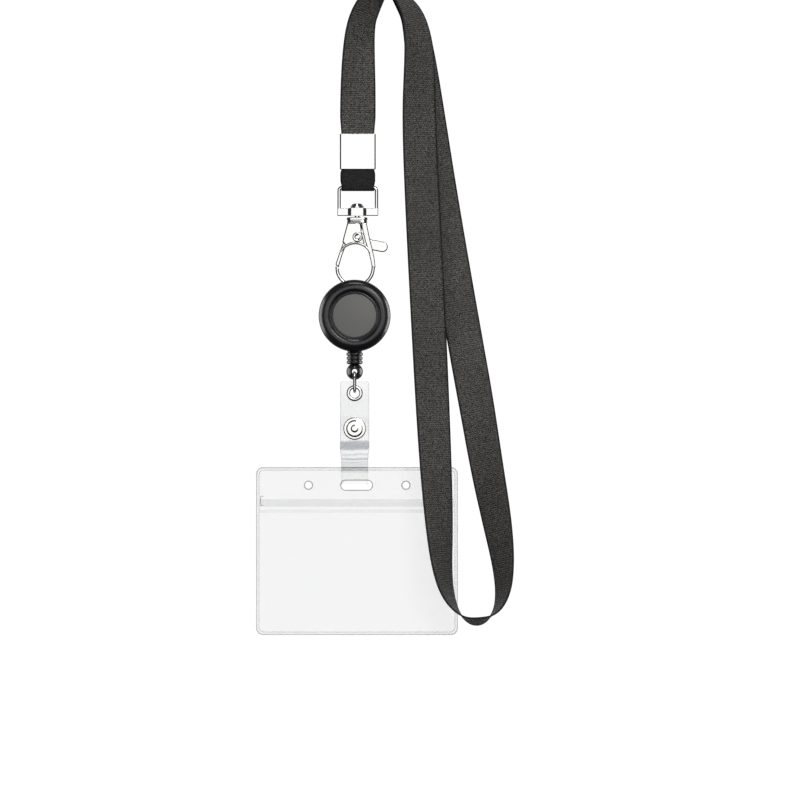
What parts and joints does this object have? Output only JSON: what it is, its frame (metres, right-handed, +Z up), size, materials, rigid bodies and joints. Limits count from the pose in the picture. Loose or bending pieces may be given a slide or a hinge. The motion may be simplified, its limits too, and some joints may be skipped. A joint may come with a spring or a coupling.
{
  "type": "lanyard badge holder",
  "caption": "Neck ribbon folded into a metal crimp, with a swivel snap hook, a round retracting cord reel, a snap strap and a clear zip-top badge pouch.",
  "frame": {"origin": "inside top of the neck loop, where the loop rests on a neck or a peg", "axes": "+X to the right as seen from the front, +Y away from the front, +Z up; the part hangs down along -Z"},
  "size_m": [0.1141, 0.0415, 0.2871],
  "materials": {
    "ribbon_grey": "woven polyester ribbon, matt dark grey",
    "nickel": "bright nickel plate",
    "hook_nickel": "bright nickel plate on a casting",
    "spring_steel": "drawn spring steel",
    "black_abs": "glossy black moulded plastic",
    "grey_label": "smooth mid-grey label",
    "white_acetal": "plain white moulded plastic",
    "black_cord": "braided black nylon cord",
    "clip_steel": "nickel-plated sheet steel",
    "clear_vinyl": "clear flexible vinyl",
    "frosted_vinyl": "reinforced clear vinyl strap"
  },
  "bodies": {
    "ribbon": {"neck_ribbon": "ribbon_grey", "ribbon_tail": "ribbon_grey", "crimp_clamp": "nickel"},
    "bail": {"bail": "nickel"},
    "hook": {"hook_body": "hook_nickel", "swivel_post": "nickel", "gate_rivet": "nickel", "gate_spring": "spring_steel"},
    "gate": {"gate_lever": "hook_nickel"},
    "reel": {"reel_front_cover": "black_abs", "reel_back_cover": "black_abs", "label_disc": "grey_label", "axle_post": "spring_steel", "power_spring": "spring_steel", "exit_bush": "nickel", "clip_rivet": "nickel"},
    "spool": {"spool": "white_acetal", "wound_cord": "black_cord"},
    "belt_clip": {"clip_base": "clip_steel"},
    "clip_arm": {"clip_arm": "clip_steel"},
    "cord_end": {"cord_end": "black_abs", "draw_cord": "black_cord"},
    "link": {"link_ring": "nickel"},
    "strap": {"strap_front": "frosted_vinyl", "strap_eyelet": "nickel", "snap_cap": "nickel", "snap_socket": "nickel"},
    "flap": {"strap_flap": "frosted_vinyl", "snap_stud": "nickel", "snap_post": "nickel"},
    "pouch": {"pouch_back": "clear_vinyl", "pouch_header": "clear_vinyl", "pouch_front": "clear_vinyl", "weld_bead": "clear_vinyl", "header_bead": "clear_vinyl", "zip_track": "clear_vinyl", "zip_rib": "clear_vinyl", "lip_ridge": "clear_vinyl"}
  },
  "joints": [
    {"name": "bail_swing", "type": "hinge", "parent": "ribbon", "child": "bail", "pos_m": [-0.0132, 0, -0.0869], "axis": [1, 0, 0], "range_deg": [-10, 60]},
    {"name": "hook_swivel", "type": "hinge", "parent": "bail", "child": "hook", "pos_m": [-0.0135, 0, -0.098], "axis": [0, 0, 1], "range_deg": [-6, 120]},
    {"name": "gate_open", "type": "hinge", "parent": "hook", "child": "gate", "pos_m": [-0.01334, 0, -0.109], "axis": [0, -1, 0], "range_deg": [0, 22], "stiffness_Nm_per_rad": 0.004, "springref_deg": -57.3},
    {"name": "reel_swing", "type": "hinge", "parent": "hook", "child": "reel", "pos_m": [-0.0144, 0, -0.1306], "axis": [1, 0, 0], "range_deg": [-2, 60]},
    {"name": "spool_spin", "type": "hinge", "parent": "reel", "child": "spool", "pos_m": [-0.0146, 0, -0.1439], "axis": [0, 1, 0], "range_deg": [0, 3960]},
    {"name": "reel_pull", "type": "slide", "parent": "reel", "child": "cord_end", "axis": [0, 0, -1], "range_m": [0, 0.6], "stiffness_N_per_m": 1, "springref_m": -0.8, "deforming": ["draw_cord"]},
    {"name": "clip_swivel", "type": "hinge", "parent": "reel", "child": "belt_clip", "pos_m": [-0.0146, 0.004, -0.1439], "axis": [0, 1, 0], "continuous": true},
    {"name": "clip_flex", "type": "hinge", "parent": "belt_clip", "child": "clip_arm", "pos_m": [-0.0146, 0.00775, -0.1334], "axis": [1, 0, 0], "range_deg": [0, 10], "stiffness_Nm_per_rad": 1.4, "springref_deg": -5.73},
    {"name": "link_swing", "type": "hinge", "parent": "cord_end", "child": "link", "pos_m": [-0.0146, 0, -0.1687], "axis": [0, 1, 0], "range_deg": [-25, 60]},
    {"name": "strap_swing", "type": "hinge", "parent": "link", "child": "strap", "pos_m": [-0.0146, 0, -0.17755], "axis": [1, 0, 0], "range_deg": [-3, 15]},
    {"name": "snap_open", "type": "hinge", "parent": "strap", "child": "flap", "pos_m": [-0.0146, 0.0019, -0.2169], "axis": [-1, 0, 0], "range_deg": [0, 70]},
    {"name": "pouch_swing", "type": "hinge", "parent": "strap", "child": "pouch", "pos_m": [-0.0137, 0, -0.21697], "axis": [1, 0, 0], "range_deg": [-3, 6]}
  ],
  "couplings": [
    {"joint": "spool_spin", "follows": "reel_pull", "rad_per_m": 115}
  ]
}
